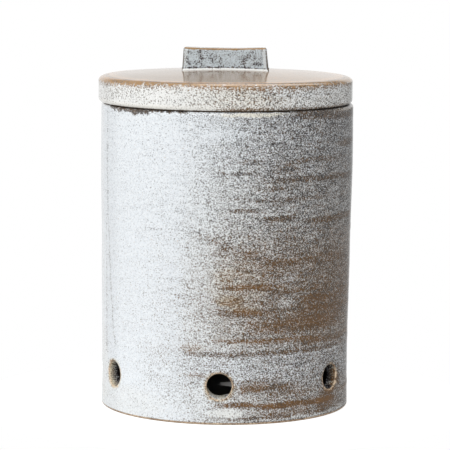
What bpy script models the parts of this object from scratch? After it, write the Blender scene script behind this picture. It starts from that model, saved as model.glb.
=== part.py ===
"""Onion jar: a thrown stoneware jar with a row of vents round its foot, and a loose lid with a slab handle.

Metres, +Z up. The origin is the middle of the foot, on the surface that the jar stands on.
The front of the jar faces -Y, a vent looks straight out of the front, and the lid's handle runs along X.
"""

import math

import bmesh
import bpy

# Jar body
JAR_HEIGHT = 0.215
RIM_RADIUS = 0.0895
FOOT_TAPER = 0.0014
FOOT_RADIUS = RIM_RADIUS - FOOT_TAPER
RIM_WALL = 0.0055
FOOT_WALL = 0.0085
FLOOR = 0.0070
INSIDE_CORNER_ROUND = 0.0080
RIM_OUTER_ROUND_SHARE = 0.45  # of the wall at the rim
RIM_INNER_ROUND_SHARE = 0.25  # of the wall at the rim
FOOT_EDGE_ROUND = 0.0012
FOOT_RING_WIDTH = 0.0090
FOOT_RECESS_DEPTH = 0.0015
FOOT_RECESS_SLOPE = 0.0015

# Vents, in one row round the jar, with softened edges
VENT_COUNT = 6
VENT_RADIUS = 0.0086
VENT_HEIGHT = 0.0268
VENT_EDGE_ROUND = 0.0015

# Lid: a cap with a crowned top and soft shoulders, hollow underneath, that sits on the jar's rim
LID_OVERHANG = 0.0004
LID_RADIUS = RIM_RADIUS + LID_OVERHANG
LID_EDGE_HEIGHT = 0.0183
LID_CROWN_RISE = 0.0048
LID_CROWN_POWER = 1.6
LID_PLATE = 0.0075
LID_SHOULDER_WIDTH = 0.0070
LID_SHOULDER_DEPTH = 0.0035
LID_SHOULDER_START = math.radians(9)
LID_BOTTOM_ROUND = 0.0030
LID_HOLLOW_ROUND = 0.0030
SEAT_GAP = 0.0003
LID_SHIFT_SHARE = -0.34  # of the locating ring's clearance: the lid lies a little off the jar's axis

# Locating ring, luted under the lid, that keeps it in the mouth
RING_HEIGHT = 0.0100
RING_WALL = 0.0050
RING_CLEARANCE = 0.0025
RING_EDGE_ROUND_SHARE = 0.3  # of the ring's wall

# Handle, a slab luted on edge across the lid
HANDLE_LENGTH = 0.0622
HANDLE_END_TAPER = 0.0010
HANDLE_HEIGHT = 0.0157
HANDLE_THICKNESS = 0.0120
HANDLE_CORNER_ROUND = 0.0026
HANDLE_EDGE_ROUND = 0.0018
HANDLE_SAG = 0.0006
HANDLE_ROOT = 0.0040

# Luted pieces stand this far off each other
LUTING_GAP = 0.0003

# How finely the curves are cut
TURN_STEPS = 72
VENT_STEPS = 24
ROUND_STEPS = 3
FLARE_STEPS = 3
SHOULDER_STEPS = 5
CROWN_STEPS = 6
SAG_STEPS = 8
BEVEL_SEGMENTS = 3
BEVEL_ANGLE = math.radians(40)
CUT_OVERRUN = 0.0040
MERGE_DISTANCE = 0.00001

# Colours, linear
JAR_GLAZE_COLOUR = (0.39, 0.38, 0.34, 1.0)
LID_GLAZE_COLOUR = (0.67, 0.63, 0.57, 1.0)
HANDLE_GLAZE_COLOUR = (0.37, 0.39, 0.39, 1.0)
BARE_CLAY_COLOUR = (0.30, 0.17, 0.09, 1.0)
GLAZE_ROUGHNESS = 0.2
CLAY_ROUGHNESS = 0.85


def clear_scene():
    for obj in list(bpy.data.objects):
        bpy.data.objects.remove(obj)


def new_collection(name, hidden=False):
    collection = bpy.data.collections.new(name)
    bpy.context.scene.collection.children.link(collection)
    collection.hide_render = hidden
    return collection


def new_material(name, colour, roughness):
    material = bpy.data.materials.new(name)
    material.use_nodes = True
    shader = material.node_tree.nodes["Principled BSDF"]
    shader.inputs["Base Color"].default_value = colour
    shader.inputs["Roughness"].default_value = roughness
    shader.inputs["Metallic"].default_value = 0.0
    return material


def arc(centre_radius, centre_height, size, start, end, steps):
    """Points (radius, height) along a round, from one angle to another in degrees."""
    points = []
    for step in range(steps + 1):
        angle = math.radians(start + (end - start) * step / steps)
        points.append((centre_radius + size * math.cos(angle), centre_height + size * math.sin(angle)))
    return points


def turned(name, profile, steps, collection, closed=False):
    """A solid turned about its own Z axis. The profile's (radius, height) points run down its outer side."""
    mesh = bpy.data.meshes.new(name)
    edges = [(i, i + 1) for i in range(len(profile) - 1)]
    if closed:
        edges.append((len(profile) - 1, 0))
    mesh.from_pydata([(radius, 0.0, height) for radius, height in profile], edges, [])
    obj = bpy.data.objects.new(name, mesh)
    collection.objects.link(obj)
    screw = obj.modifiers.new("turn", "SCREW")
    screw.axis = "Z"
    screw.angle = math.tau
    screw.steps = steps
    screw.render_steps = steps
    screw.use_merge_vertices = True
    screw.merge_threshold = MERGE_DISTANCE
    screw.use_smooth_shade = True
    return obj


def as_cutter(obj):
    obj.hide_render = True
    obj.display_type = "WIRE"
    return obj


def cut(obj, cutter):
    boolean = obj.modifiers.new("cut_" + cutter.name, "BOOLEAN")
    boolean.operation = "DIFFERENCE"
    boolean.solver = "EXACT"
    boolean.object = cutter


def outer_radius(height):
    """The jar's outside, which widens evenly from foot to rim."""
    return FOOT_RADIUS + (RIM_RADIUS - FOOT_RADIUS) * height / JAR_HEIGHT


def inner_radius(height):
    """The jar's inside. The wall is thickest at the foot and thins evenly to the rim."""
    return outer_radius(height) - FOOT_WALL - (RIM_WALL - FOOT_WALL) * height / JAR_HEIGHT


def crown_height(radius):
    """Height of the lid's top above its seat: level at the edge and highest in the middle."""
    return LID_EDGE_HEIGHT + LID_CROWN_RISE * (1 - (radius / LID_RADIUS) ** LID_CROWN_POWER)


def lid_shoulder():
    """Points (radius, height) from where the crown bends down to the lid's upright side."""
    width = LID_SHOULDER_WIDTH
    depth = LID_SHOULDER_DEPTH
    inner = LID_RADIUS - width
    start = inner + width * math.sin(LID_SHOULDER_START)
    level = crown_height(start) + depth * (1 - math.cos(LID_SHOULDER_START))
    points = []
    for step in range(SHOULDER_STEPS + 1):
        angle = LID_SHOULDER_START + (math.pi / 2 - LID_SHOULDER_START) * step / SHOULDER_STEPS
        points.append((inner + width * math.sin(angle), level - depth * (1 - math.cos(angle))))
    return points


def ring_outer_radius():
    return inner_radius(JAR_HEIGHT - RING_HEIGHT) - RING_CLEARANCE


def ring_inner_radius():
    return ring_outer_radius() - RING_WALL


def vent_cutter(name, collection):
    """Cuts one vent. Its own Z axis points out through the wall, and its ends flare to soften both edges."""
    outside = outer_radius(VENT_HEIGHT)
    inside = inner_radius(VENT_HEIGHT)
    flare = VENT_RADIUS + VENT_EDGE_ROUND
    profile = [(0.0, outside + CUT_OVERRUN), (flare, outside + CUT_OVERRUN)]
    profile += arc(flare, outside - VENT_EDGE_ROUND, VENT_EDGE_ROUND, 90, 180, FLARE_STEPS)
    profile += arc(flare, inside + VENT_EDGE_ROUND, VENT_EDGE_ROUND, 180, 270, FLARE_STEPS)
    profile += [(flare, inside - CUT_OVERRUN), (0.0, inside - CUT_OVERRUN)]
    return as_cutter(turned(name, profile, VENT_STEPS, collection))


def make_jar_body(material, collection, cutters):
    outer_round = RIM_OUTER_ROUND_SHARE * RIM_WALL
    inner_round = RIM_INNER_ROUND_SHARE * RIM_WALL
    floor_corner = inner_radius(FLOOR + INSIDE_CORNER_ROUND) - INSIDE_CORNER_ROUND
    foot_ring_inside = FOOT_RADIUS - FOOT_RING_WIDTH
    profile = [(0.0, FLOOR)]
    profile += arc(floor_corner, FLOOR + INSIDE_CORNER_ROUND, INSIDE_CORNER_ROUND, -90, 0, ROUND_STEPS)
    profile += arc(inner_radius(JAR_HEIGHT) + inner_round, JAR_HEIGHT - inner_round, inner_round, 180, 90,
                   ROUND_STEPS)
    profile += arc(RIM_RADIUS - outer_round, JAR_HEIGHT - outer_round, outer_round, 90, 0, ROUND_STEPS)
    profile += arc(FOOT_RADIUS - FOOT_EDGE_ROUND, FOOT_EDGE_ROUND, FOOT_EDGE_ROUND, 0, -90, ROUND_STEPS)
    profile += [
        (foot_ring_inside, 0.0),
        (foot_ring_inside - FOOT_RECESS_SLOPE, FOOT_RECESS_DEPTH),
        (0.0, FOOT_RECESS_DEPTH),
    ]
    body = turned("jar_body", profile, TURN_STEPS, collection)
    body.data.materials.append(material)
    for index in range(VENT_COUNT):
        cutter = vent_cutter("vent_cutter_%d" % index, cutters)
        cutter.location = (0.0, 0.0, VENT_HEIGHT)
        cutter.rotation_euler = (math.pi / 2, 0.0, math.tau * index / VENT_COUNT)
        cut(body, cutter)
    return body


def make_lid_disc(material, collection):
    """Its own origin is on its axis, at the seat."""
    shoulder = lid_shoulder()
    profile = []
    for step in range(CROWN_STEPS):
        radius = shoulder[0][0] * step / CROWN_STEPS
        profile.append((radius, crown_height(radius)))
    profile += shoulder
    profile += arc(LID_RADIUS - LID_BOTTOM_ROUND, LID_BOTTOM_ROUND, LID_BOTTOM_ROUND, 0, -90, ROUND_STEPS)
    hollow = ring_inner_radius()
    ceiling = LID_EDGE_HEIGHT - LID_PLATE
    profile.append((hollow, 0.0))
    bend = LID_HOLLOW_ROUND
    profile += arc(hollow - bend, ceiling - bend, bend, 0, 90, ROUND_STEPS)
    profile.append((0.0, ceiling + LID_CROWN_RISE))
    disc = turned("lid_disc", profile, TURN_STEPS, collection)
    disc.data.materials.append(material)
    return disc


def make_locating_ring(material, collection):
    outside = ring_outer_radius()
    inside = ring_inner_radius()
    edge_round = RING_EDGE_ROUND_SHARE * RING_WALL
    low = edge_round - RING_HEIGHT
    profile = [(outside, -LUTING_GAP)]
    profile += arc(outside - edge_round, low, edge_round, 0, -90, ROUND_STEPS)
    profile += arc(inside + edge_round, low, edge_round, -90, -180, ROUND_STEPS)
    profile.append((inside, -LUTING_GAP))
    ring = turned("lid_locating_ring", profile, TURN_STEPS, collection, closed=True)
    ring.data.materials.append(material)
    return ring


def handle_outline():
    """The slab seen from the front, as (x, height) points that go round it from its foot."""
    half_foot = HANDLE_LENGTH / 2
    half_top = half_foot - HANDLE_END_TAPER
    foot = crown_height(half_foot) - HANDLE_ROOT
    top = crown_height(0.0) + HANDLE_HEIGHT
    half_flat = half_top - HANDLE_CORNER_ROUND
    outline = [(-half_foot, foot), (half_foot, foot)]
    outline += arc(half_flat, top - HANDLE_CORNER_ROUND, HANDLE_CORNER_ROUND, 0, 90, ROUND_STEPS)
    for step in range(1, SAG_STEPS):
        share = 1 - 2 * step / SAG_STEPS
        outline.append((half_flat * share, top - HANDLE_SAG * (1 - share**2)))
    outline += arc(-half_flat, top - HANDLE_CORNER_ROUND, HANDLE_CORNER_ROUND, 90, 180, ROUND_STEPS)
    return outline


def slab(name, outline, thickness, collection):
    """An upright slab of that thickness, in the XZ plane, made from a filled outline and kept as a mesh."""
    curve = bpy.data.curves.new(name, "CURVE")
    curve.dimensions = "2D"
    curve.fill_mode = "BOTH"
    curve.extrude = thickness / 2
    spline = curve.splines.new("POLY")
    spline.points.add(len(outline) - 1)
    for point, (across, height) in zip(spline.points, outline):
        point.co = (across, height, 0.0, 1.0)
    spline.use_cyclic_u = True
    flat = bpy.data.objects.new(name + "_outline", curve)
    collection.objects.link(flat)
    flat.rotation_euler = (math.pi / 2, 0.0, 0.0)
    bpy.context.view_layer.update()
    mesh = bpy.data.meshes.new_from_object(flat.evaluated_get(bpy.context.evaluated_depsgraph_get()))
    welded = bmesh.new()
    welded.from_mesh(mesh)
    bmesh.ops.remove_doubles(welded, verts=welded.verts, dist=MERGE_DISTANCE)
    bmesh.ops.recalc_face_normals(welded, faces=welded.faces)
    welded.to_mesh(mesh)
    welded.free()
    solid = bpy.data.objects.new(name, mesh)
    solid.matrix_world = flat.matrix_world
    collection.objects.link(solid)
    bpy.data.objects.remove(flat)
    return solid


def crown_cutter(collection):
    """Everything under the lid's crown, so that the handle's foot follows it with the luting gap between."""
    reach = HANDLE_LENGTH / 2 + CUT_OVERRUN
    low = crown_height(HANDLE_LENGTH / 2) - HANDLE_ROOT - CUT_OVERRUN
    profile = []
    for step in range(CROWN_STEPS + 1):
        radius = reach * step / CROWN_STEPS
        profile.append((radius, crown_height(radius) + LUTING_GAP))
    profile += [(reach, low), (0.0, low)]
    return as_cutter(turned("crown_cutter", profile, TURN_STEPS, collection))


def make_handle(material, collection, cutters):
    handle = slab("lid_handle", handle_outline(), HANDLE_THICKNESS, collection)
    handle.data.materials.append(material)
    bevel = handle.modifiers.new("soft_edges", "BEVEL")
    bevel.width = HANDLE_EDGE_ROUND
    bevel.segments = BEVEL_SEGMENTS
    bevel.limit_method = "ANGLE"
    bevel.angle_limit = BEVEL_ANGLE
    cutter = crown_cutter(cutters)
    cut(handle, cutter)
    return handle, cutter


def main():
    clear_scene()
    pieces = new_collection("onion_jar")
    cutters = new_collection("cutters", hidden=True)
    jar_glaze = new_material("jar_glaze", JAR_GLAZE_COLOUR, GLAZE_ROUGHNESS)
    lid_glaze = new_material("lid_glaze", LID_GLAZE_COLOUR, GLAZE_ROUGHNESS)
    handle_glaze = new_material("handle_glaze", HANDLE_GLAZE_COLOUR, GLAZE_ROUGHNESS)
    bare_clay = new_material("bare_stoneware", BARE_CLAY_COLOUR, CLAY_ROUGHNESS)

    make_jar_body(jar_glaze, pieces, cutters)

    # The lid lifts straight up along the axis through this empty, which marks its seat on the rim.
    seat = bpy.data.objects.new("lid_seat", None)
    pieces.objects.link(seat)
    seat.location = (LID_SHIFT_SHARE * RING_CLEARANCE, 0.0, JAR_HEIGHT + SEAT_GAP)
    disc = make_lid_disc(lid_glaze, pieces)
    ring = make_locating_ring(bare_clay, pieces)
    handle, cutter = make_handle(handle_glaze, pieces, cutters)
    for piece in (disc, ring, handle, cutter):
        piece.parent = seat


main()
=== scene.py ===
"""The looks of a glazed stoneware onion jar: a thrown jar with vents, its lid, the slab handle and the ring
under the lid, on a pale floor in soft studio light.

Metres, +Z up. Sizes that the potter would set are named below. Glaze features are placed by the angle round
the jar, in degrees from the middle of the picture, and by the height above the table, in millimetres.
"""

import functools
import math

import bmesh
import bpy
from mathutils import Matrix, Vector, noise


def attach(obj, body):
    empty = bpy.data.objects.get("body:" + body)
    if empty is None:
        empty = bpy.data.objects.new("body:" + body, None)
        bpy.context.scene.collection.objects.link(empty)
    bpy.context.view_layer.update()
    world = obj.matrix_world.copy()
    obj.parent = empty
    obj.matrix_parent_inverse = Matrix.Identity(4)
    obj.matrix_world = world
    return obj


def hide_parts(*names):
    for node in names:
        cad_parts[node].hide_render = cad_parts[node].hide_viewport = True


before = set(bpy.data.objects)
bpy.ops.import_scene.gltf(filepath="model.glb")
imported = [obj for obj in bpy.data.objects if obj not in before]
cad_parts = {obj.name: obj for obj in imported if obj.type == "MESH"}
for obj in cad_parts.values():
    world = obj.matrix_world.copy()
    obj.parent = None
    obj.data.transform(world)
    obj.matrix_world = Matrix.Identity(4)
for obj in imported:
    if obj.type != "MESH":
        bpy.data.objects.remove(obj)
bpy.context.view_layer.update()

MM = 0.001

# The picture was taken from a little to the right of the front vent.
PICTURE_TURN = math.radians(2.35)
CAMERA_DISTANCE = 1.81006
CAMERA_HEIGHT = 0.35521
CAMERA_PITCH = 0.1253
CAMERA_ROLL = 0.0078
CAMERA_YAW = 0.0003
SENSOR_WIDTH = 36.0
LENS = 204.73

# Room
TABLE_RADIUS = 0.18
# How strongly the room lights what stands in it, and how much the table glows where it is seen
ROOM_FILL = 0.52
TABLE_GLOW = 0.6

# Jar
JAR_HEIGHT = 0.215
VENT_COUNT = 6
VENT_HEIGHT = 0.0268
VENT_RADIUS = 0.0086
VENT_EDGE_ROUND = 0.0015
# How far round a vent the glaze broke thinner and creamier
VENT_HALO = 0.0032
# How deep the glaze pooled on the low side of the front vent, inside its edge
FRONT_VENT_POOL = 0.0012
# How far that low side is turned to the picture's left
FRONT_VENT_SLANT = 0.4
RIM_WALL = 0.0055
FOOT_WALL = 0.0085
FLOOR = 0.007
RIM_ROUND_OUT = 0.0025
RIM_ROUND_IN = 0.0014
FOOT_ROUND = 0.0012
INSIDE_CORNER = 0.008
FOOT_RING = 0.009
FOOT_RECESS = 0.0015
COLUMNS = 288
ROW_PITCH = 0.001
INSIDE_ROW_PITCH = 0.006
# How many rows and columns of the wall's mesh give way to a vent, on each side of its middle
WINDOW_ROWS = 12
WINDOW_COLUMNS = 8

# Outside radius of the thrown wall by height, both in mm
WALL_PROFILE = ((0, 88.0), (35, 87.65), (110, 88.4), (180, 89.35), (215, 89.1))
# Middle of the lighter, glossier patch on the jar's floor: a glaze pool, and a painted pool of light
LINER_POOL_AND_LIGHT = (0.004, 0.0265, FLOOR)
LINER_POOL_AND_LIGHT_RADIUS = 0.01
# How far the rim leans to the picture's right, and the foot to its left
LEAN_TOP = 0.0005
LEAN_FOOT = -0.0002
# How far the throwing rings, the fine lines and the slow swell of the wall stand proud, in mm
RINGS_PROUD = 0.12
LINES_PROUD = 0.07
SWELL_PROUD = 0.12

# Lid
LID_SHIFT = -0.00085
LID_SEAT = 0.2153
LID_RADIUS = 0.0899
LID_EDGE = 0.0183
LID_CROWN = 0.0048
LID_CROWN_POWER = 1.6
LID_SHOULDER_WIDTH = 0.007
LID_SHOULDER_DEPTH = 0.0035
LID_SHOULDER_START = math.radians(9)
# How far the crown reaches before it bends down to the side
LID_FLAT = LID_RADIUS - LID_SHOULDER_WIDTH * (1 - math.sin(LID_SHOULDER_START))
LID_BOTTOM_ROUND = 0.003
LID_PLATE = 0.0075
LID_HOLLOW = 0.0764
LID_HOLLOW_ROUND = 0.003
RING_OUTSIDE = 0.0814
RING_TOP = 0.215
RING_HEIGHT = 0.0097
RING_ROUND = 0.0015
LID_COLUMNS = 384
# How far the lid's surface waves, in mm, and how far it is out of round, as a share of its radius
LID_WAVE = 0.12
LID_OUT_OF_ROUND = 0.0012

# Handle
HANDLE_SHIFT = LID_SHIFT - 0.0005
HANDLE_LENGTH = 0.0622
HANDLE_THICKNESS = 0.012
HANDLE_TOP = 0.2541
HANDLE_TAPER = 0.0019
HANDLE_LEFT_IN = 0.0008
HANDLE_EDGE = 0.0017
HANDLE_SAG = 0.0007
HANDLE_FILLET = 0.0019
# How far the slip in the join spreads past the handle's ends, as a share of how far it spreads from its faces
HANDLE_END_SLIP = 0.05
# How far its faces bow and its top waves, in mm
HANDLE_BOW = 0.25
HANDLE_WAVE = 0.15
# Pitch of the cuts that give its mesh an even grid
HANDLE_CUT = 0.001

# Glaze

# What is written at each point of a glazed piece, for its material to read
GLAZE_LAYERS = ("cover", "rust", "cream", "bare")
# How thickly the pale glaze lies round the jar: 1 hides the clay, 0 leaves it dark
COVER_ROUND = (
    (-180, 0.72), (-150, 0.9), (-75, 0.98), (-48, 1.0), (-26, 0.92), (-12, 0.72), (0, 0.56), (12, 0.455),
    (25, 0.34), (60, 0.262), (100, 0.32), (130, 0.26), (160, 0.5), (180, 0.72),
)
# What is added to that by height where it lies thin
COVER_UP = (
    (0, 0.03), (12, 0.03), (24, 0.04), (36, 0.09), (50, 0.02), (70, -0.11), (110, -0.075), (150, 0.045),
)
# How rusty the thin glaze is by height: 0 is dark iron, a quarter grey, a half brown, 1 rust orange
RUST_UP = ((10, 0.5), (40, 0.35), (60, 0.52), (110, 0.5), (150, 0.3), (200, 0.25))
# How creamy its flecks are by height: 0 is blue-white
CREAM_UP = ((20, 0.1), (35, -0.1), (60, 0.16), (110, 0.16), (150, 0.1), (200, 0.0))
# A dark fringe below the rim, partly where the glaze drew back and partly painted shade under the lid,
# and how far down: angle, height of its ragged edge
RIM_DARK_FRINGE = (
    (-180, 212), (-130, 211), (-110, 217), (-70, 217), (-64, 211.9), (-50, 211.4), (-40, 212.6), (-20, 213.3),
    (-14, 217), (28, 217), (36, 209), (56, 207.6), (78, 207.6), (100, 211), (120, 217), (140, 217),
    (155, 211), (180, 212),
)
# Throwing rings, where the glaze broke thin: height, from and to angle, half height, thinner by, rustier by
RINGS = (
    (190, 60, 84, 2.0, 0.24, 0.15), (181, 25, 62, 2.0, 0.14, 0.1), (173, -4, 17, 1.3, 0.18, 0.0),
    (168, 18, 80, 1.9, 0.22, 0.12), (163, 16, 32, 1.8, 0.15, 0.12), (155, 8, 50, 1.3, 0.15, 0.08),
    (148, 1, 16, 1.6, 0.2, 0.15), (142, 15, 32, 2.0, 0.29, 0.15), (139, 38, 84, 2.2, 0.25, 0.15),
    (130, -13, -5, 2.0, 0.18, 0.15), (126, -8, 0, 1.8, 0.2, 0.15), (122, -3, 7, 1.8, 0.21, 0.1),
    (117, 4, 17, 2.6, 0.18, 0.1), (112, 16, 70, 2.6, 0.18, 0.08), (95.5, -2, 24, 2.0, 0.29, 0.25),
    (92, 22, 76, 1.6, 0.14, 0.05), (85, 33, 84, 2.6, 0.24, 0.1), (78, -5, 22, 2.0, 0.2, 0.1),
    (77, 40, 86, 2.2, 0.28, 0.1), (68, 12, 66, 4.6, 0.17, 0.1), (58, -5, 46, 1.3, 0.24, 0.2),
    (55, 36, 84, 2.2, 0.25, 0.1), (49.3, -21, 70, 1.4, 0.2, 0.05), (30, 3, 25, 1.8, 0.11, 0.08),
    (25, 4, 36, 2.4, 0.2, 0.1), (20.5, 20, 42, 1.4, 0.17, 0.08), (13.9, -2, 14, 1.6, 0.36, 0.25),
    (133, -46, -8, 0.8, 0.1, 0.0), (163, 95, 170, 2.0, 0.21, 0.1), (128, 80, 150, 2.4, 0.21, 0.15),
    (101, 90, 165, 2.2, 0.24, 0.2), (74, 95, 150, 3.0, 0.21, 0.15), (50, 80, 160, 1.8, 0.21, 0.15),
    (16, 70, 150, 2.0, 0.24, 0.2), (181, 4, 20, 2.0, 0.12, 0.05), (46.8, 20, 66, 1.0, -0.15, 0.0),
    (12.3, 16, 62, 1.8, 0.4, 0.25),
)
# Every ring thins the glaze this many times as much as its row says
RING_STRENGTH = 1.3
# Other places: angle, height, half width, half height, thicker by, rustier by, creamier by
PATCHES = (
    (12, 213.2, 20, 1.9, 0.3, 0.0, 0.5), (-2, 200, 14, 7.0, 0.14, -0.1, -0.9),
    (-20, 180, 12, 40, 0.06, 0.0, 0.0), (28, 176, 10, 5.0, -0.1, 0.1, 0.0),
    (2, 86, 9, 5.0, -0.14, 0.15, 0.35), (9, 80, 10, 3.0, -0.1, 0.15, 0.3), (0, 103, 7, 6.0, -0.08, 0.1, 0.1),
    (30, 100, 5, 5.0, 0.06, 0.0, -0.2), (30, 85, 9, 6.0, 0.13, -0.05, 0.0),
    (-14, 53, 8, 3.4, -0.14, 0.2, 0.1), (-14, 34, 8, 2.6, -0.12, 0.2, 0.1), (56, 17, 9, 4.0, -0.3, 0.05, 0.0),
    (12, 26, 9, 5.0, -0.1, 0.15, 0.1), (16, 13.7, 10, 1.6, -0.1, 0.25, 0.0),
    (45, 2.9, 42, 1.2, 0.25, -0.1, 0.0), (1, 8, 9, 4.6, 0.3, 0.0, 0.1), (-52, 10, 34, 15, 0.0, 0.0, 0.08),
    (8, 4.6, 17, 1.3, -0.3, -0.1, 0.0), (-24, 38, 26, 26, -0.1, 0.1, 0.0),
    (68, 213.8, 24, 1.2, 0.3, 0.1, 0.3), (-34, 50, 14, 8.0, -0.06, 0.1, 0.0),
    (46, 74, 22, 16, -0.09, 0.05, 0.0), (6, 96, 16, 24, 0.0, 0.08, 0.15), (14, 108, 14, 10, -0.05, 0.06, 0.0),
    (-14, 84, 9, 34, -0.04, 0.08, 0.0), (54, 9, 9, 7.0, -0.2, 0.1, 0.0), (30, 6, 24, 4.0, -0.1, 0.1, 0.0),
    (-77, 30, 11, 36, -0.08, 0.0, 0.1), (65.5, 25, 2.4, 10, -0.4, 0.1, 0.0),
    (-30, 84, 14, 26, -0.05, 0.0, 0.0),
)
# Two thin lines of specks down the left: painted edges of a lamp's reflection. Height and angle
REFLECTION_EDGE_LINES = (
    ((45, -61), (70, -63.5), (95, -66), (120, -67.5), (140, -69), (214, -69)),
    ((40, -71.5), (140, -71)),
)
# How thickly the glaze lies round the lid's side, and how creamy its flecks are
LID_COVER_ROUND = (
    (-180, 0.76), (-75, 0.82), (-50, 0.82), (-22, 0.89), (-8, 0.7), (10, 0.58), (25, 0.62), (75, 0.66),
    (120, 0.66), (180, 0.76),
)
LID_CREAM_ROUND = ((-60, 0.15), (-20, 0.2), (10, 0.5), (35, 0.1), (90, 0.1))
# Where its lower edge ran thick and white, and where it is darker and browner: angle, how much
LID_FOOT_ROUND = (
    (-180, 0.4), (-70, 0.35), (-30, 0.4), (-8, 0.2), (2, -0.3), (14, -0.35), (24, -0.15), (33, -0.35),
    (60, -0.35), (90, -0.25), (130, 0.2), (180, 0.3),
)
# How far up the glaze reaches, below the tan band: angle, level above the lid's seat
LID_BAND_ROUND = (
    (-180, 15.8), (-72, 15.2), (-58, 15.2), (-48, 15.7), (-36, 16.2), (-20, 16.9), (-8, 16.9), (0, 16.7),
    (25, 16.6), (32, 16.1), (55, 16.2), (80, 15.7), (180, 15.8),
)

# Iron spots on the handle's faces: along it and up from its foot, half width, half height, how strong.
# Below 0 is a place with fewer of them.
HANDLE_SPOTS = (
    (-27, 8, 1.8, 3.4, 0.45), (-25, 5.0, 2.6, 1.7, 0.5), (-21, 5.2, 2.8, 1.6, 0.4),
    (-22.8, 8.6, 2.6, 2.2, -0.3), (-25, 13, 2.2, 1.4, 0.35), (-17.5, 13, 2.0, 1.6, 0.55),
    (-17, 8, 2.4, 4.4, 0.42), (-8.5, 8, 3.6, 4.6, 0.42), (-3, 6.3, 2.0, 2.6, 0.42),
    (-0.5, 10.8, 1.2, 1.1, 0.35), (5, 10.8, 4.0, 1.5, 0.2), (13.5, 7, 3.4, 4.4, 0.44),
    (17, 9.8, 2.4, 2.4, 0.4), (23, 4.8, 4.0, 1.7, 0.6), (21, 9, 1.6, 3.0, 0.28), (26, 9, 1.8, 4.0, 0.32),
    (18.3, 13, 2.2, 1.4, 0.36), (27, 12.6, 2.0, 1.8, 0.36), (-28, 3.4, 1.8, 1.5, 0.3),
    (-23, 1.8, 4.0, 1.5, 0.32), (14.4, 1.8, 1.8, 1.2, 0.3), (-18, 8, 11, 7.0, 0.1), (19, 9, 9, 7.0, 0.12),
)


def shade(colour):
    """An sRGB hex colour as linear red, green, blue and alpha."""
    parts = [int(colour[i:i + 2], 16) / 255 for i in (1, 3, 5)]
    return [c / 12.92 if c <= 0.04045 else ((c + 0.055) / 1.055) ** 2.4 for c in parts] + [1.0]


def add(tree, kind, inputs=(), **settings):
    """Adds one node. Each input is a value or another node's output."""
    made = tree.nodes.new("ShaderNode" + kind)
    for name, value in settings.items():
        setattr(made, name, value)
    for socket, value in dict(inputs).items():
        if isinstance(value, bpy.types.NodeSocket):
            tree.links.new(value, made.inputs[socket])
        else:
            made.inputs[socket].default_value = value
    return made


def smooth(share):
    """A share from 0 to 1 with its ends eased."""
    share = min(max(share, 0.0), 1.0)
    return share * share * (3 - 2 * share)


def along(stops, place):
    """A value that changes smoothly between (place, value) stops."""
    if place <= stops[0][0]:
        return stops[0][1]
    for (start, first), (end, second) in zip(stops, stops[1:]):
        if place <= end:
            return first + (second - first) * smooth((place - start) / (end - start))
    return stops[-1][1]


def within(distance, reach):
    """1 well inside a reach, 0 well outside it."""
    return smooth(1.75 - 1.25 * abs(distance) / reach)


# Forms


def wall_radius(height):
    """The outside of the jar at a height in metres."""
    return MM * along(WALL_PROFILE, height / MM)


def inside_radius(height):
    """The inside of the jar, whose wall is thickest at the foot and thins evenly to the rim."""
    return wall_radius(height) - FOOT_WALL - (RIM_WALL - FOOT_WALL) * height / JAR_HEIGHT


def arc(radius, height, size, start, end, steps):
    """Points round a middle, from one angle to another, in degrees upwards from straight out."""
    points = []
    for step in range(steps + 1):
        angle = math.radians(start + (end - start) * step / steps)
        points.append((radius + size * math.cos(angle), height + size * math.sin(angle)))
    return points


def steps_between(start, end, pitch):
    """Evenly spaced values from start to end, both left out, about a pitch apart."""
    count = max(1, round(abs(end - start) / pitch))
    return [start + (end - start) * step / count for step in range(1, count)]


def turn_profile(profile, columns, centre=0.0):
    """A closed solid turned from a profile of (radius, height) points that starts and ends on the axis."""
    form = bmesh.new()
    points = [form.verts.new((radius, 0.0, height)) for radius, height in profile]
    edges = [form.edges.new(pair) for pair in zip(points, points[1:])]
    bmesh.ops.spin(
        form, geom=points + edges, cent=(0, 0, 0), axis=(0, 0, 1), dvec=(0, 0, 0), angle=math.tau,
        steps=columns, use_merge=True,
    )
    bmesh.ops.remove_doubles(form, verts=form.verts, dist=MM / 1000)
    bmesh.ops.translate(form, verts=form.verts, vec=(centre, 0, 0))
    bmesh.ops.recalc_face_normals(form, faces=form.faces)
    return form


def finish_piece(form, name, materials, body, slot, *nodes):
    bmesh.ops.recalc_face_normals(form, faces=form.faces)
    mesh = bpy.data.meshes.new(name)
    form.to_mesh(mesh)
    form.free()
    mesh.shade_smooth()
    for material in materials:
        mesh.materials.append(material)
    piece = bpy.data.objects.new(name, mesh)
    bpy.context.scene.collection.objects.link(piece)
    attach(piece, body)
    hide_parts(*nodes)


def vent_directions(index):
    """Out through a vent and sideways along the wall; the first vent faces the front."""
    angle = math.tau * index / VENT_COUNT
    return Vector((math.sin(angle), -math.cos(angle), 0)), Vector((math.cos(angle), math.sin(angle), 0))


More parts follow.
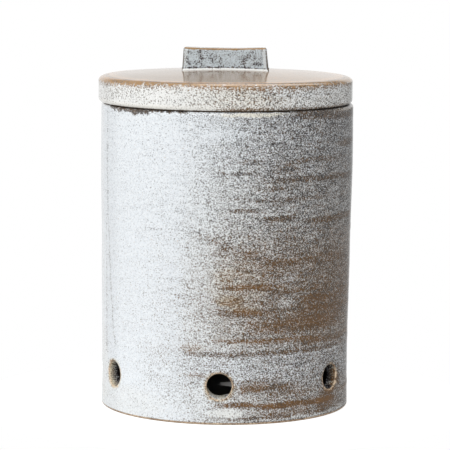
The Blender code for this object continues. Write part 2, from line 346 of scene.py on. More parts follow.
def open_vent(form, index):
    """Cuts one round vent through both skins of the wall, joins them with a bore and rounds its edges."""
    out, side = vent_directions(index)
    half_turn = math.tau * (WINDOW_COLUMNS + 0.5) / COLUMNS
    half_height = ROW_PITCH * (WINDOW_ROWS + 0.5)
    segments = 4 * (WINDOW_COLUMNS + WINDOW_ROWS)
    bore_edges = []
    for skin in (wall_radius, inside_radius):
        half_width = skin(VENT_HEIGHT) * math.sin(half_turn)
        corners = {
            vert for vert in form.verts
            if abs(vert.co.z - VENT_HEIGHT) < half_height
            and abs(vert.co.dot(side)) < half_width
            and vert.co.dot(out) > 0
            and abs(math.hypot(vert.co.x, vert.co.y) - skin(vert.co.z)) < RIM_WALL / 3
        }
        inside = {face for vert in corners for face in vert.link_faces if corners.issuperset(face.verts)}
        patch = list(inside)
        window = [
            edge for edge in {edge for face in patch for edge in face.edges}
            if any(face not in inside for face in edge.link_faces)
        ]
        bmesh.ops.delete(form, geom=patch, context="FACES")
        facing = Matrix((side, Vector((0, 0, 1)), -out)).transposed().to_4x4()
        made = bmesh.ops.create_circle(
            form, cap_ends=False, radius=VENT_RADIUS, segments=segments,
            matrix=Matrix.Translation((0, 0, VENT_HEIGHT)) @ facing,
        )["verts"]
        for vert in made:
            across = vert.co.dot(side)
            vert.co += out * (math.sqrt(skin(vert.co.z)**2 - across**2) - vert.co.dot(out))
        ring = list({edge for vert in made for edge in vert.link_edges})
        bmesh.ops.bridge_loops(form, edges=window + ring)
        bore_edges.append(ring)
    bore = bmesh.ops.bridge_loops(form, edges=bore_edges[0] + bore_edges[1])["faces"]
    crossing = {edge for face in bore for edge in face.edges} - set(bore_edges[0] + bore_edges[1])
    bmesh.ops.bevel(
        form, geom=bore_edges[0] + bore_edges[1], offset=VENT_EDGE_ROUND, offset_type="OFFSET", segments=5,
        profile=0.5, affect="EDGES", material=-1, clamp_overlap=True,
    )
    crossing = [edge for edge in crossing if edge.is_valid]
    bmesh.ops.subdivide_edges(form, edges=crossing, cuts=2)
    near = VENT_RADIUS + VENT_EDGE_ROUND * 1.02

    def spread(vert):
        return math.hypot(vert.co.dot(side), vert.co.z - VENT_HEIGHT)

    spokes = [
        edge for edge in form.edges
        if edge.verts[0].co.dot(out) > 0
        and min(spread(v) for v in edge.verts) < near + MM
        and max(spread(v) for v in edge.verts) > near + MM
        and max(abs(v.co.z - VENT_HEIGHT) for v in edge.verts) < half_height
        and max(abs(v.co.dot(side)) for v in edge.verts) < wall_radius(VENT_HEIGHT) * math.sin(half_turn)
    ]
    bmesh.ops.subdivide_edges(form, edges=spokes, cuts=3)
    for vert in form.verts:
        if vert.co.dot(out) > 0 and near < spread(vert) < 2.5 * VENT_RADIUS:
            reach = math.hypot(vert.co.x, vert.co.y)
            for skin in (wall_radius, inside_radius):
                radius = skin(vert.co.z)
                if abs(reach - radius) < RIM_WALL / 6:
                    vert.co.x *= radius / reach
                    vert.co.y *= radius / reach


# Where the glaze lies thick or thin


def picture_turn(point):
    """The angle round the jar's axis, in degrees from the middle of the picture to the right."""
    turn = math.degrees(math.atan2(point.x, -point.y) - PICTURE_TURN)
    return (turn + 180) % 360 - 180


@functools.lru_cache
def marks_near(level):
    """The rings and patches that reach within a millimetre of a height."""
    def near(marks, place, size):
        return [mark for mark in marks if abs(mark[place] - level) < 1.4 * mark[size] + 1]
    return near(RINGS, 0, 3), near(PATCHES, 1, 3)


def wandered(turn, level):
    """The place whose marks show here: the rings waver a little, and every edge is uneven."""
    angle = math.radians(turn)
    spot = Vector((math.cos(angle), math.sin(angle), level / 90))
    turn += 3.0 * noise.noise(spot * 22) + 1.5 * noise.noise(spot * 70)
    level += 1.3 * noise.noise(spot * 5) + 0.7 * noise.noise(spot * 26)
    return turn, level


def ring_here(ring, turn, level):
    """How strongly a throwing ring shows at a place."""
    height, start, end, half_height = ring[:4]
    half = (end - start) / 2
    return within(level - height, half_height) * smooth((half + 5 - abs(turn - start - half)) / 12)


def patch_here(patch, turn, level):
    return within(math.hypot((turn - patch[0]) / patch[2], (level - patch[1]) / patch[3]), 0.75)


def paint(form, glaze_at):
    """Writes how the glaze lies at every vertex: its cover, rust, cream and how bare the clay is."""
    layers = [form.verts.layers.float.new(name) for name in GLAZE_LAYERS]
    for vert in form.verts:
        for layer, value in zip(layers, glaze_at(vert.co)):
            vert[layer] = value


def bore_glaze_at(point):
    """In the vents the glaze lies thin over dark clay. On the low side of the front one it pooled."""
    low = (VENT_HEIGHT - point.z - FRONT_VENT_SLANT * point.x) / VENT_RADIUS
    pooled = smooth((low - 0.5) / 0.3) if point.y < -2 * abs(point.x) else 0.0
    mottle = 0.35 * noise.noise(point / (2.6 * MM))
    return 0.12 + mottle + 0.6 * pooled, 0.45 * pooled - 0.15, 0.6 * pooled, 0.0


def jar_glaze_at(point):
    depth = wall_radius(point.z) - math.hypot(point.x, point.y)
    if point.z < FOOT_RECESS * 1.1:
        return 0.0, 0.5, 0.0, 1.0
    if depth > VENT_EDGE_ROUND and point.z < 2 * VENT_HEIGHT:
        return bore_glaze_at(point)
    turn = picture_turn(point)
    cover = along(COVER_ROUND, turn)
    thin = 1 - smooth((cover - 0.45) / 0.5)
    turn, level = wandered(turn, point.z / MM)
    rust = along(RUST_UP, level)
    cover += thin * along(COVER_UP, level)
    cream = thin * along(CREAM_UP, level)
    # The dark fringe is partly drawn-back glaze and partly painted shade from the lid.
    fringe_edge = along(RIM_DARK_FRINGE, turn) + 2.0 * noise.noise(Vector((turn / 1.3, 3.0, level / 8)))
    dark_fringe = smooth((level - fringe_edge) / 1.2 + 0.5)
    cover += dark_fringe * (0.1 - cover)
    rust += dark_fringe * (0.36 - rust)
    rings, patches = marks_near(round(level))
    for ring in rings:
        here = ring_here(ring, turn, level)
        cover -= RING_STRENGTH * ring[4] * here * smooth(cover / 0.5)
        rust += ring[5] * here
    for patch in patches:
        here = patch_here(patch, turn, level)
        cover += patch[4] * here
        rust += patch[5] * here
        cream += patch[6] * here
    # Thinner glaze along these lines: painted edges of a reflection.
    for edge in REFLECTION_EDGE_LINES:
        if edge[0][0] < level < edge[-1][0]:
            cover -= 0.3 * within(picture_turn(point) - along(edge, level), 0.9)
    bare = smooth((1.4 - point.z / MM) / 0.9)
    rust -= 0.3 * smooth((2.2 - point.z / MM) / 0.8)
    # Over the rim's top and inside it the glaze goes dark: a wiped rim, and painted shade in the gap under
    # the lid.
    if point.z > JAR_HEIGHT / 2:
        cover *= 1 - smooth((depth / MM - 1.2) / 0.6)
        rust *= 1 - smooth((depth / MM - 1.2) / 0.6)
    edge_depth = 1 - smooth((depth / MM - 0.5) / 0.8)
    for index in range(VENT_COUNT):
        out, side = vent_directions(index)
        gap = math.hypot(point.dot(side), point.z - VENT_HEIGHT) - VENT_RADIUS
        if gap < VENT_HALO and point.dot(out) > 0:
            low = (VENT_HEIGHT - point.z) / VENT_RADIUS
            pooled = smooth((low - 0.5) / 0.3) * smooth(1 - gap / MM) if index == 0 else 0.0
            ragged = 1.1 + 1.1 * noise.noise(point / (1.9 * MM))
            worn = edge_depth * smooth((VENT_EDGE_ROUND * ragged - gap) / (VENT_EDGE_ROUND * 0.9))
            bare = max(bare, worn * (1 - pooled))
            halo = smooth(1 - gap / VENT_HALO)
            rust += halo * (0.4 - 0.4 * smooth(-low) + 0.5 * noise.noise(point / (5 * MM)))
            cream += 0.8 * halo - 0.8 * pooled
            cover += 0.3 * pooled - 0.3 * halo * smooth(cover)
    return cover, rust, cream, bare


def lid_glaze_at(point):
    """The lid's glaze ran off its top, which is left brown, and off its edge, which is left tan."""
    level = (point.z - LID_SEAT) / MM
    turn = picture_turn(point)
    reach = math.hypot(point.x, point.y)
    # The underside is bare clay, kept dark brown as painted shade in the gap over the jar's rim.
    if level < 0.4 or reach < LID_RADIUS - LID_BOTTOM_ROUND and level < (LID_EDGE - LID_PLATE) / MM:
        return 0.5, 0.1, 0.0, 1.0
    bent = (reach - LID_FLAT) / MM
    line = within(bent - 0.2, 1.5) * (0.7 + 0.8 * noise.noise(Vector((turn / 4, 0.0, 1.0))))
    if bent < 0:
        tanned = 1.3 * smooth(bent / 9 + 1) + 0.4 * smooth(point.x / (40 * MM))
        return -0.3 * line, tanned * (1 - line) + 0.3 * line, 0.0, 1 - line
    runs = noise.noise(Vector((turn / 1.1, level / 14, 2.0)))
    band = along(LID_BAND_ROUND, turn) + 3.2 * runs
    tan = 0.85 - 0.5 * within(turn - 52, 34)
    bare = (1 - 0.3 * smooth((bent - 1) / 2) - line) * smooth((level - band) / 2.6 + 0.5)
    thin = smooth((level - band + 4.4) / 4.4)
    foot = along(LID_FOOT_ROUND, turn)
    foot *= smooth((4.6 - level) / 3.0) if foot > 0 else smooth((3.2 - level) / 2.0)
    cover = (along(LID_COVER_ROUND, turn) - 0.27 * thin + foot) * (1 - smooth(1.8 * line)) - 0.3 * line
    cream = along(LID_CREAM_ROUND, turn) + max(foot, 0.0)
    cream -= 0.4 * within(turn - 38, 22) * smooth((level - 8) / 5)
    rust = 0.35 + 0.45 * thin + 0.6 * max(-foot, 0.0) + 0.12 * within(turn - 5, 22)
    # Along the lowest edge, cover and rust fall away to dark iron: a thin brown edge, darkened as painted
    # shade in the gap.
    shown = smooth((level - 0.3) / 0.5)
    return cover * shown, (rust + (tan - rust) * bare) * shown, cream, bare


def handle_glaze_at(point):
    """Clusters of iron spots on the faces, worn edges, and a white join: pooled slip with a painted
    highlight.
    """
    low = point.z - crown(math.hypot(point.x, point.y))
    worn = 1 + 0.35 * noise.noise(point / (4 * MM))
    front = HANDLE_THICKNESS / 2 - HANDLE_TAPER / 4 - abs(point.y)
    top = HANDLE_TOP - HANDLE_SAG * (1 - (2 * point.x / HANDLE_LENGTH) ** 2) - point.z
    up = 1 - top / (HANDLE_TOP - LID_SEAT - LID_EDGE)
    ends = HANDLE_LENGTH / 2 - HANDLE_TAPER * up - abs(point.x)
    if point.x < 0:
        ends -= HANDLE_LEFT_IN * (1 - up)
    # Near white in the join: slip pooled there, and a painted highlight along the fillet.
    if low < 0.6 * HANDLE_FILLET and ends > 0.4 * MM:
        return 1.3, 0.3, 1.0, 0.0
    arris = smooth(1.5 * worn - math.hypot(top, front) / (1.2 * MM))
    corner = smooth(1.5 - math.hypot(ends, front) / (0.65 * MM))
    spots = 0.33 * noise.noise(point / (2.4 * MM)) - 0.2 * within(ends - 2 * MM, MM)
    for along_it, up_it, half_width, half_height, strength in HANDLE_SPOTS:
        away = math.hypot((point.x / MM - along_it) / half_width, (low / MM - up_it) / half_height)
        spots += strength * within(away, 0.75)
    seam = smooth(1.6 - abs(low - 0.85 * HANDLE_FILLET) / (0.34 * MM))
    over = smooth(1.5 - top / MM)
    cover = 0.94 - spots - 0.6 * seam - 0.4 * over
    rust = 0.2 + 0.3 * over + 0.4 * arris - 0.25 * corner
    return cover, rust, 0.3 * within(ends - 2 * MM, MM) + 0.2 * over, 1.2 * max(arris, corner)


def throwing_relief(point):
    """How far the potter's fingers left the wall proud: rings, fine lines along them, and a slow swell."""
    turn, level = wandered(picture_turn(point), point.z / MM)
    rings = RINGS_PROUD * sum(ring_here(ring, turn, level) for ring in marks_near(round(level))[0])
    angle = math.radians(turn)
    lines = LINES_PROUD * noise.noise(Vector((1.3 * math.cos(angle), 1.3 * math.sin(angle), level / 1.9)))
    swell = SWELL_PROUD * noise.noise(Vector((math.cos(angle), math.sin(angle), level / 40)))
    return MM * (rings + lines + swell)


def make_jar(glaze, liner):
    inner = [VENT_HEIGHT + ROW_PITCH * row for row in range(-WINDOW_ROWS, WINDOW_ROWS + 1)]
    inner_top = JAR_HEIGHT - RIM_ROUND_IN
    rows_up = round((inner_top - inner[-1]) / INSIDE_ROW_PITCH)
    inner += [inner[-1] + (inner_top - inner[-1]) * row / rows_up for row in range(1, rows_up)]
    outer_top = JAR_HEIGHT - RIM_ROUND_OUT
    rows_down = math.floor((outer_top - VENT_HEIGHT) / ROW_PITCH)
    rows_foot = math.floor((VENT_HEIGHT - FOOT_ROUND - ROW_PITCH / 2) / ROW_PITCH)
    outer = [VENT_HEIGHT + ROW_PITCH * row for row in range(rows_down, -rows_foot - 1, -1)]
    corner = inside_radius(FLOOR + INSIDE_CORNER) - INSIDE_CORNER
    profile = [(radius, FLOOR) for radius in [0.0] + steps_between(0.0, corner, 8 * MM)]
    profile += arc(corner, FLOOR + INSIDE_CORNER, INSIDE_CORNER, -90, 0, 6)[:-1]
    profile += [(inside_radius(height), height) for height in inner]
    profile += arc(inside_radius(JAR_HEIGHT) + RIM_ROUND_IN, inner_top, RIM_ROUND_IN, 180, 90, 4)
    profile += arc(wall_radius(JAR_HEIGHT) - RIM_ROUND_OUT, outer_top, RIM_ROUND_OUT, 90, 0, 5)
    profile += [(wall_radius(height), height) for height in outer]
    profile += arc(wall_radius(0) - FOOT_ROUND, FOOT_ROUND, FOOT_ROUND, 0, -90, 4)
    ring_inside = wall_radius(0) - FOOT_RING
    profile += [(ring_inside, 0.0), (ring_inside - FOOT_RECESS, FOOT_RECESS), (ring_inside / 2, FOOT_RECESS)]
    profile.append((0.0, FOOT_RECESS))
    form = turn_profile(profile, COLUMNS)
    for index in range(VENT_COUNT):
        open_vent(form, index)
    paint(form, jar_glaze_at)
    lean_way = Vector((math.cos(PICTURE_TURN), math.sin(PICTURE_TURN), 0))
    for vert in form.verts:
        reach = math.hypot(vert.co.x, vert.co.y)
        depth = wall_radius(vert.co.z) - reach
        proud = smooth(1 - depth / VENT_EDGE_ROUND) * smooth(vert.co.z / (4 * MM))
        proud *= smooth((JAR_HEIGHT - vert.co.z) / (5 * MM))
        if proud > 0:
            grown = (reach + proud * throwing_relief(vert.co)) / reach
            vert.co.x *= grown
            vert.co.y *= grown
        low = (VENT_HEIGHT - vert.co.z - FRONT_VENT_SLANT * vert.co.x) / VENT_RADIUS
        if vert.co.y < 0 and math.hypot(vert.co.x, vert.co.z - VENT_HEIGHT) < VENT_RADIUS + 0.4 * MM:
            vert.co.z += FRONT_VENT_POOL * smooth((low - 0.2) / 0.6) * smooth(depth / (3 * MM) - 0.4)
        vert.co += lean_way * (LEAN_FOOT + (LEAN_TOP - LEAN_FOOT) * smooth(vert.co.z / JAR_HEIGHT))
    for face in form.faces:
        middle = face.calc_center_median()
        face.material_index = int(math.hypot(middle.x, middle.y) < inside_radius(middle.z) + MM / 2)
        if middle.z < FOOT_RECESS * 1.1:
            face.material_index = 0
    finish_piece(form, "thrown_jar", (glaze, liner), "jar", "jar_glaze", "jar_body")


def crown(radius):
    """Height of the lid's top at a distance from its axis."""
    return LID_SEAT + LID_EDGE + LID_CROWN * (1 - (radius / LID_RADIUS) ** LID_CROWN_POWER)


def lid_shoulder(steps):
    """Points from where the lid's crown bends down to its upright side."""
    top = crown(LID_FLAT) + LID_SHOULDER_DEPTH * (1 - math.cos(LID_SHOULDER_START))
    points = []
    for step in range(steps + 1):
        angle = LID_SHOULDER_START + (math.pi / 2 - LID_SHOULDER_START) * step / steps
        radius = LID_RADIUS - LID_SHOULDER_WIDTH * (1 - math.sin(angle))
        points.append((radius, top - LID_SHOULDER_DEPTH * (1 - math.cos(angle))))
    return points


def make_lid(material):
    profile = [(radius, crown(radius)) for radius in [0.0] + steps_between(0.0, LID_FLAT, 2 * MM)]
    profile += lid_shoulder(14)
    low = LID_SEAT + LID_BOTTOM_ROUND
    profile += [(LID_RADIUS, height) for height in steps_between(profile[-1][1], low, ROW_PITCH)]
    profile += arc(LID_RADIUS - LID_BOTTOM_ROUND, low, LID_BOTTOM_ROUND, 0, -90, 8)
    ceiling = LID_SEAT + LID_EDGE - LID_PLATE
    profile.append((LID_HOLLOW, LID_SEAT))
    profile += arc(LID_HOLLOW - LID_HOLLOW_ROUND, ceiling - LID_HOLLOW_ROUND, LID_HOLLOW_ROUND, 0, 90, 4)
    profile.append((LID_HOLLOW / 2, ceiling + LID_CROWN / 2))
    profile.append((0.0, ceiling + LID_CROWN))
    form = turn_profile(profile, LID_COLUMNS)
    for vert in form.verts:
        if vert.co.z > low:
            vert.co.z += LID_WAVE * MM * noise.noise(vert.co / (24 * MM))
            swell = 1 + LID_OUT_OF_ROUND * noise.noise(vert.co / (30 * MM) + Vector((4, 7, 1)))
            vert.co.x *= swell
            vert.co.y *= swell
    paint(form, lid_glaze_at)
    bmesh.ops.translate(form, verts=form.verts, vec=(LID_SHIFT, 0, 0))
    finish_piece(form, "thrown_lid", (material,), "lid", "lid_glaze", "lid_disc")


def make_ring(material):
    low = RING_TOP - RING_HEIGHT
    inside = LID_HOLLOW
    profile = [(RING_OUTSIDE, RING_TOP), (RING_OUTSIDE, (low + RING_TOP) / 2)]
    profile += arc(RING_OUTSIDE - RING_ROUND, low + RING_ROUND, RING_ROUND, 0, -90, 4)
    profile += arc(inside + RING_ROUND, low + RING_ROUND, RING_ROUND, -90, -180, 4)
    profile += [(inside, (low + RING_TOP) / 2), (inside, RING_TOP), (RING_OUTSIDE, RING_TOP)]
    form = turn_profile(profile, LID_COLUMNS, LID_SHIFT)
    finish_piece(form, "locating_ring", (material,), "lid", "bare_stoneware", "lid_locating_ring")


def make_handle(material):
    """A slab cut from rolled clay, set on edge and luted down, with slip smoothed into the join."""
    foot = crown(0.0) - LID_CROWN / 2
    half_length = HANDLE_LENGTH / 2
    half_thickness = HANDLE_THICKNESS / 2
    form = bmesh.new()
    bmesh.ops.create_cube(form, size=1.0)
    bmesh.ops.scale(form, verts=form.verts, vec=(HANDLE_LENGTH, HANDLE_THICKNESS, HANDLE_TOP - foot))
    bmesh.ops.translate(form, verts=form.verts, vec=(0, 0, (HANDLE_TOP + foot) / 2))
    for vert in form.verts:
        if vert.co.z > foot + MM:
            vert.co.x -= math.copysign(HANDLE_TAPER, vert.co.x)
            vert.co.y -= math.copysign(HANDLE_TAPER / 4, vert.co.y)
        elif vert.co.x < 0:
            vert.co.x += HANDLE_LEFT_IN
    bottom = [face for face in form.faces if face.normal.z < -0.5]
    bmesh.ops.delete(form, geom=bottom, context="FACES_ONLY")
    kept = [edge for edge in form.edges if len(edge.link_faces) == 2]
    bmesh.ops.bevel(
        form, geom=kept, offset=HANDLE_EDGE, offset_type="OFFSET", segments=5, profile=0.5, affect="EDGES",
        material=-1, clamp_overlap=True,
    )
    cuts = [((x, 0, 0), (1, 0, 0)) for x in steps_between(-half_length, half_length, HANDLE_CUT)]
    cuts += [((0, 0, z), (0, 0, 1)) for z in steps_between(foot, HANDLE_TOP, HANDLE_CUT)]
    cuts += [((0, y, 0), (0, 1, 0)) for y in steps_between(-half_thickness, half_thickness, HANDLE_CUT)]
    for place, across in cuts:
        bmesh.ops.bisect_plane(
            form, geom=form.verts[:] + form.edges[:] + form.faces[:], dist=MM / 100, plane_co=place,
            plane_no=across,
        )
    for vert in form.verts:
        share = smooth((vert.co.z - foot) / (HANDLE_TOP - foot))
        vert.co.z -= share * HANDLE_SAG * (1 - (2 * vert.co.x / HANDLE_LENGTH) ** 2)
        vert.co.y += HANDLE_BOW * MM * noise.noise(vert.co / (22 * MM))
        vert.co.z += share * HANDLE_WAVE * MM * noise.noise(vert.co / (16 * MM) + Vector((3, 1, 5)))
    for vert in form.verts:
        if vert.is_boundary:
            vert.co.z = crown(math.hypot(vert.co.x, vert.co.y)) + HANDLE_FILLET
    loop = [edge for edge in form.edges if edge.is_boundary]
    core = (half_length - HANDLE_EDGE, half_thickness - HANDLE_EDGE)
    steps = 6
    for step in range(1, steps + 1):
        made = bmesh.ops.extrude_edge_only(form, edges=loop)["geom"]
        loop = [item for item in made if isinstance(item, bmesh.types.BMEdge)]
        before, here = (math.radians(90 * count / steps) for count in (step - 1, step))
        grow = HANDLE_FILLET * (math.cos(before) - math.cos(here))
        for vert in [item for item in made if isinstance(item, bmesh.types.BMVert)]:
            nearest = Vector((min(max(vert.co.x, -core[0]), core[0]), min(max(vert.co.y, -core[1]), core[1])))
            away = (Vector((vert.co.x, vert.co.y)) - nearest).normalized()
            vert.co.x += away.x * grow * HANDLE_END_SLIP
            vert.co.y += away.y * grow
            rise = HANDLE_FILLET * (1 - math.sin(here)) - 0.1 * MM * step / steps
            vert.co.z = crown(math.hypot(vert.co.x, vert.co.y)) + rise
    bmesh.ops.holes_fill(form, edges=loop, sides=0)
    paint(form, handle_glaze_at)
    bmesh.ops.translate(form, verts=form.verts, vec=(HANDLE_SHIFT, 0, 0))
    finish_piece(form, "slab_handle", (material,), "lid", "handle_glaze", "lid_handle")


# Materials


def curdled_glaze(name, thin, pale, cream, bare, speck=MM, curdle=2.3, roughness=0.2, ior=1.5):
    """A pale glaze over iron-bearing clay. Where it lies thin it curdles into flecks, and the clay shows.

    The thin colours run from dark iron through grey and brown to rust. Curdle is how strongly it flecks.
    """
    material = bpy.data.materials.new(name)
    material.use_nodes = True
    tree = material.node_tree
    shader = tree.nodes["Principled BSDF"]
    place = add(tree, "TexCoord").outputs["Object"]
    cover, rust, creamy, worn = (
        add(tree, "Attribute", attribute_name=layer).outputs["Fac"] for layer in GLAZE_LAYERS
    )
    grain = {}
    for pattern, size, flatness, detail in (
        ("fleck", speck, 1.25, 1.5), ("spot", 1.5 * speck, 1.4, 2.0), ("blotch", 8 * MM, 2.5, 2.0),
        ("streak", 18 * MM, 7.0, 2.0),
    ):
        spread = add(tree, "Mapping", {"Vector": place, "Scale": (1, 1, flatness)})
        cloud = add(tree, "TexNoise", {"Vector": spread.outputs[0], "Scale": 1 / size, "Detail": detail})
        grain[pattern] = add(tree, "Math", {0: cloud.outputs["Fac"], 1: 0.5}, operation="SUBTRACT").outputs[0]
    uneven = {}
    for layer, value, shares in (
        ("cover", cover, (("fleck", curdle), ("blotch", 0.34), ("streak", 0.38))),
        ("rust", rust, (("spot", 1.3), ("blotch", 0.6))),
        ("pale", 0.5, (("spot", 3.5),)),
        ("bare", worn, (("fleck", 1.4), ("spot", 1.4))),
        ("clay", rust, (("spot", 1.6), ("blotch", 1.0))),
    ):
        for pattern, share in shares:
            value = add(
                tree, "Math", {0: grain[pattern], 1: share, 2: value}, operation="MULTIPLY_ADD"
            ).outputs[0]
        uneven[layer] = value
    milky = add(
        tree, "MapRange", {"Value": cover, "From Min": 0.1, "From Max": 0.65, "To Min": 0.88}
    ).outputs[0]
    opacity = add(
        tree, "MapRange", {"Value": uneven["cover"], "From Min": 0.05, "From Max": 0.95, "To Max": milky},
        interpolation_type="SMOOTHSTEP",
    ).outputs[0]
    ramp = add(tree, "ValToRGB", {"Fac": uneven["rust"]})
    stops = ramp.color_ramp.elements
    stops[0].color, stops[-1].color = shade(thin[0]), shade(thin[-1])
    for where, colour in zip((0.25, 0.5), thin[1:3]):
        stops.new(where).color = shade(colour)
    milk = add(
        tree, "Mix", {0: uneven["pale"], 6: shade(pale[0]), 7: shade(pale[1])}, data_type="RGBA"
    ).outputs[2]
    milk = add(tree, "Mix", {0: creamy, 6: milk, 7: shade(cream)}, data_type="RGBA").outputs[2]
    coat = add(tree, "Mix", {0: opacity, 6: ramp.outputs[0], 7: milk}, data_type="RGBA").outputs[2]
    clay = add(
        tree, "Mix", {0: uneven["clay"], 6: shade(bare[0]), 7: shade(bare[1])}, data_type="RGBA"
    ).outputs[2]
    broken = add(
        tree, "MapRange", {"Value": uneven["bare"], "From Min": 0.3, "From Max": 0.7},
        interpolation_type="SMOOTHSTEP",
    ).outputs[0]
    colour = add(tree, "Mix", {0: broken, 6: coat, 7: clay}, data_type="RGBA").outputs[2]
    tree.links.new(colour, shader.inputs["Base Color"])
    bump = add(tree, "Bump", {"Height": opacity, "Strength": 0.25, "Distance": 0.05 * MM})
    tree.links.new(bump.outputs[0], shader.inputs["Normal"])
    shader.inputs["Roughness"].default_value = roughness
    shader.inputs["IOR"].default_value = ior
    return material


def jar_glaze():
    """Blue-white glaze on a brown body: near white where it ran thick, curdled over brown where thin."""
    return curdled_glaze(
        "reactive_white_glaze_on_stoneware",
        thin=("#262022", "#524c47", "#5f4b37", "#7f5c38"),
        pale=("#f6fafd", "#e5ebf0"),
        cream="#efe3c4",
        bare=("#6e4a2c", "#e6d0b4"),
    )


def lid_glaze():
    """The same glaze, creamier, which left the lid's top and edge brown and tan."""
    return curdled_glaze(
        "reactive_cream_glaze_on_stoneware",
        thin=("#281e16", "#565049", "#6e5a44", "#8f683f"),
        pale=("#fbfcfc", "#ecefef"),
        cream="#f8f3e6",
        bare=("#927c64", "#b9946b"),
        speck=1.15 * MM,
        curdle=3.1,
        roughness=0.13,
        ior=1.56,
    )


def handle_glaze():
    """Grey-blue glaze with iron spots, worn tan along the slab's edges."""
    return curdled_glaze(
        "iron_spotted_glaze_on_stoneware",
        thin=("#2e2426", "#463c3c", "#6d5a46", "#a5794c"),
        pale=("#d6dfe4", "#c3cdd3"),
        cream="#fbfbf8",
        bare=("#574535", "#ae8b60"),
        speck=0.95 * MM,
        curdle=3.6,
    )


def liner_glaze():
    """Near-black liner, painted shade inside the jar. Its lighter, glossy pool on the floor is painted light.
    """
    material = bpy.data.materials.new("dark_liner_as_painted_shade")
    material.use_nodes = True
    tree = material.node_tree
    shader = tree.nodes["Principled BSDF"]
    place = add(tree, "TexCoord").outputs["Object"]
    cloud = add(tree, "TexNoise", {"Vector": place, "Scale": 1 / (6 * MM), "Detail": 3.0}).outputs["Fac"]
    # Near-black: painted shade for the dark inside of the jar.
    colour = add(
        tree, "Mix", {0: cloud, 6: shade("#0e0b09"), 7: shade("#1e1712")}, data_type="RGBA"
    ).outputs[2]
    away = add(tree, "VectorMath", {0: place, 1: LINER_POOL_AND_LIGHT}, operation="DISTANCE").outputs["Value"]
    away = add(tree, "Math", {0: cloud, 1: LINER_POOL_AND_LIGHT_RADIUS, 2: away}, operation="MULTIPLY_ADD").outputs[0]
    dull = add(tree, "MapRange", {
        "Value": away, "From Min": 1.3 * LINER_POOL_AND_LIGHT_RADIUS, "From Max": 1.5 * LINER_POOL_AND_LIGHT_RADIUS,
    }).outputs[0]
    # The patch's lighter brown is painted light falling on the floor. Its gloss is the pool's own.
    colour = add(tree, "Mix", {0: dull, 6: shade("#49382c"), 7: colour}, data_type="RGBA").outputs[2]
    roughness = add(tree, "Mix", {0: dull, 2: 0.28, 3: 0.8}).outputs[0]
    tree.links.new(colour, shader.inputs["Base Color"])
    tree.links.new(roughness, shader.inputs["Roughness"])
    shader.inputs["Specular Tint"].default_value = shade("#d8b8a4")
    return material


def bare_clay():
    """Unglazed fired stoneware: warm buff, toasted in places, dry and gritty with dark grog specks."""
    material = bpy.data.materials.new("bare_fired_stoneware")
    material.use_nodes = True
    tree = material.node_tree
    shader = tree.nodes["Principled BSDF"]
    place = add(tree, "TexCoord").outputs["Object"]
    toast = add(tree, "TexNoise", {"Vector": place, "Scale": 1 / (14 * MM), "Detail": 3.0}).outputs["Fac"]
    colour = add(
        tree, "Mix", {0: toast, 6: shade("#8e6c4a"), 7: shade("#bd9b76")}, data_type="RGBA"
    ).outputs[2]
    grit = add(tree, "TexNoise", {"Vector": place, "Scale": 1 / MM, "Detail": 2.0}).outputs["Fac"]
    specks = add(tree, "MapRange", {"Value": grit, "From Min": 0.62, "From Max": 0.7}).outputs[0]
    colour = add(tree, "Mix", {0: specks, 6: colour, 7: shade("#5a4230")}, data_type="RGBA").outputs[2]
    tree.links.new(colour, shader.inputs["Base Color"])
    bump = add(tree, "Bump", {"Height": grit, "Strength": 0.4, "Distance": 0.08 * MM})
    tree.links.new(bump.outputs[0], shader.inputs["Normal"])
    shader.inputs["Roughness"].default_value = 0.85
    return material


# Stage


def seen_rays(tree):
    """1 for the rays that show the backdrop: straight from the camera, or off gloss, or through glass."""
    path = add(tree, "LightPath").outputs
    first = add(tree, "Math", {0: path["Is Camera Ray"], 1: path["Is Glossy Ray"]}, operation="MAXIMUM")
    return add(
        tree, "Math", {0: first.outputs[0], 1: path["Is Transmission Ray"]}, operation="MAXIMUM"
    ).outputs[0]


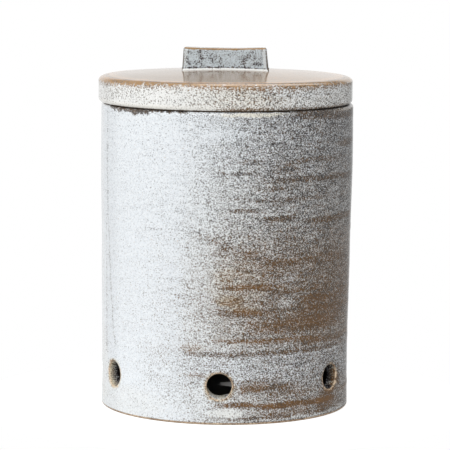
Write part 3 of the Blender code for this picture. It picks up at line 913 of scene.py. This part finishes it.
def make_room():
    """The room round the table. The camera sees it plain white.

    In the gloss a white backdrop stands behind the jar and wraps round to its left, and the room to the right
    is dark almost up to the backdrop. Below the horizon it shows the far table, a little darker, and above
    the backdrop a dark ceiling.
    """
    world = bpy.data.worlds.new("studio")
    bpy.context.scene.world = world
    world.use_nodes = True
    tree = world.node_tree
    toward = add(tree, "SeparateXYZ", {0: add(tree, "TexCoord").outputs["Generated"]}).outputs
    left, right = (
        add(
            tree, "MapRange", {"Value": toward["Y"], "From Min": start, "From Max": end, "To Min": dim},
            interpolation_type="SMOOTHSTEP",
        ).outputs[0]
        for start, end, dim in ((0.5, 0.98, 0.5), (0.95, 1.0, 0.36))
    )
    side = add(tree, "MapRange", {"Value": toward["X"], "From Min": 0.05, "From Max": 0.35}).outputs[0]
    room = add(tree, "Mix", {0: side, 2: left, 3: right}).outputs[0]
    far_table = add(
        tree, "MapRange", {"Value": toward["Z"], "From Min": -0.05, "From Max": 0.0, "To Min": 0.9}
    ).outputs[0]
    room = add(tree, "Math", {0: room, 1: far_table}, operation="MULTIPLY").outputs[0]
    behind = add(tree, "MapRange", {"Value": toward["Y"], "From Min": 0.75, "From Max": 0.9}).outputs[0]
    above = add(tree, "MapRange", {"Value": toward["Z"], "From Max": 0.06, "To Max": behind}).outputs[0]
    room = add(tree, "Math", {0: room, 1: above}, operation="MAXIMUM").outputs[0]
    ceiling = add(tree, "MapRange", {
        "Value": toward["Z"], "From Min": 0.3, "From Max": 0.42, "To Min": 1.0, "To Max": 0.25,
    }).outputs[0]
    room = add(tree, "Math", {0: room, 1: ceiling}, operation="MULTIPLY").outputs[0]
    camera_ray = add(tree, "LightPath").outputs["Is Camera Ray"]
    shown = add(tree, "Math", {0: camera_ray, 1: room}, operation="MAXIMUM").outputs[0]
    level = add(tree, "Mix", {0: seen_rays(tree), 2: ROOM_FILL, 3: shown})
    background = tree.nodes["Background"]
    background.inputs["Color"].default_value = shade("#ffffff")
    tree.links.new(level.outputs[0], background.inputs["Strength"])


def make_table():
    """A matt white table top. Where it is seen it also glows, so that it passes into the backdrop."""
    form = bmesh.new()
    bmesh.ops.create_circle(form, cap_ends=True, radius=TABLE_RADIUS, segments=96)
    mesh = bpy.data.meshes.new("table")
    form.to_mesh(mesh)
    form.free()
    table = bpy.data.objects.new("table", mesh)
    bpy.context.scene.collection.objects.link(table)
    table.visible_glossy = False
    material = bpy.data.materials.new("white_table")
    material.use_nodes = True
    tree = material.node_tree
    tree.nodes.remove(tree.nodes["Principled BSDF"])
    matt = add(tree, "BsdfDiffuse", {"Color": shade("#ececec")})
    glow_level = add(tree, "MapRange", {"Value": seen_rays(tree), "To Min": 0.0, "To Max": TABLE_GLOW})
    glow = add(tree, "Emission", {"Color": shade("#ffffff"), "Strength": glow_level.outputs[0]})
    both = add(tree, "AddShader", {0: matt.outputs[0], 1: glow.outputs[0]})
    tree.links.new(both.outputs[0], tree.nodes["Material Output"].inputs["Surface"])
    mesh.materials.append(material)


def make_softbox(name, bearing, distance, height, size, brightness):
    """A soft lamp turned to the jar. Its bearing is in degrees round the jar, to the right of the camera."""
    data = bpy.data.lights.new(name, "AREA")
    data.shape = "RECTANGLE"
    data.size, data.size_y = size
    data.energy = brightness * math.pi * size[0] * size[1]
    lamp = bpy.data.objects.new(name, data)
    angle = math.radians(bearing) + PICTURE_TURN
    lamp.location = (distance * math.sin(angle), -distance * math.cos(angle), height)
    middle = Vector((0, 0, JAR_HEIGHT / 2))
    lamp.rotation_euler = (middle - lamp.location).to_track_quat("-Z", "Y").to_euler()
    bpy.context.scene.collection.objects.link(lamp)


def make_camera():
    data = bpy.data.cameras.new("camera")
    data.lens = LENS
    data.sensor_width = SENSOR_WIDTH
    camera = bpy.data.objects.new("camera", data)
    stand = Vector((math.sin(PICTURE_TURN), -math.cos(PICTURE_TURN), 0)) * CAMERA_DISTANCE
    stand.z = CAMERA_HEIGHT
    camera.matrix_world = (
        Matrix.Translation(stand)
        @ Matrix.Rotation(PICTURE_TURN + CAMERA_YAW, 4, "Z")
        @ Matrix.Rotation(math.pi / 2 - CAMERA_PITCH, 4, "X")
        @ Matrix.Rotation(CAMERA_ROLL, 4, "Z")
    )
    bpy.context.scene.collection.objects.link(camera)
    bpy.context.scene.camera = camera


make_camera()
make_room()
make_table()
make_softbox("left_softbox", bearing=-85, distance=1.1, height=0.4, size=(1.6, 1.5), brightness=0.55)
make_softbox("front_softbox", bearing=-16, distance=1.6, height=1.2, size=(1.4, 1.4), brightness=2.8)
make_softbox("high_softbox", bearing=160, distance=1.0, height=1.7, size=(1.2, 1.2), brightness=2.5)
make_jar(jar_glaze(), liner_glaze())
make_lid(lid_glaze())
make_ring(bare_clay())
make_handle(handle_glaze())
bpy.context.scene.view_settings.view_transform = "Standard"
